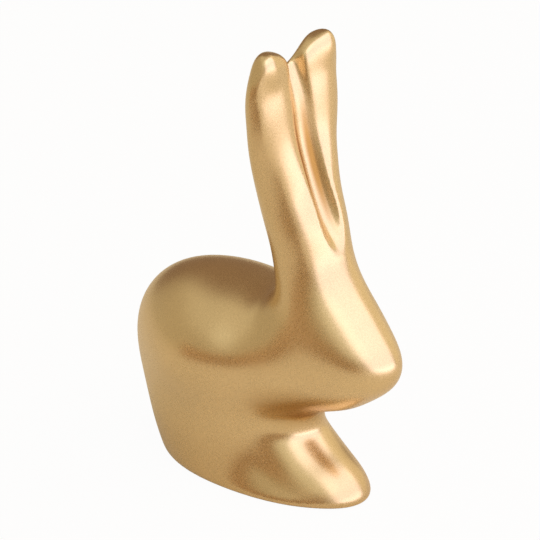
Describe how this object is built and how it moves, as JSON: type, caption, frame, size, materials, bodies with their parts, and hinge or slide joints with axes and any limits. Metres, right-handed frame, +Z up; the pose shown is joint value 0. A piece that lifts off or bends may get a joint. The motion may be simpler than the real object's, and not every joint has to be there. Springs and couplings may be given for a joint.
{
  "type": "rabbit figurine",
  "caption": "Seated rabbit ornament in satin gold metal: a hollow casting with raised ears, closed underneath by a screwed, weighted base on a soft pad.",
  "frame": {"origin": "middle of the plan of the whole object, on the surface its pad stands on", "axes": "+Z up, the nose towards -Y, the rabbit's left side towards +X"},
  "size_m": [0.0932, 0.1735, 0.2511],
  "materials": {
    "gold_casting": "satin",
    "plate_steel": "satin",
    "gasket_rubber": "matte",
    "pad_felt": "matte",
    "ballast_iron": "matte",
    "screw_steel": "satin"
  },
  "bodies": {
    "root": {"body_shell": "gold_casting", "base_plate": "plate_steel", "base_gasket": "gasket_rubber", "base_pad": "pad_felt", "ballast_block": "ballast_iron", "base_screw_front_left": "screw_steel", "base_screw_rear_left": "screw_steel", "base_screw_rear_right": "screw_steel", "base_screw_front_right": "screw_steel", "ballast_screw_front": "screw_steel", "ballast_screw_rear": "screw_steel"}
  },
  "joints": []
}
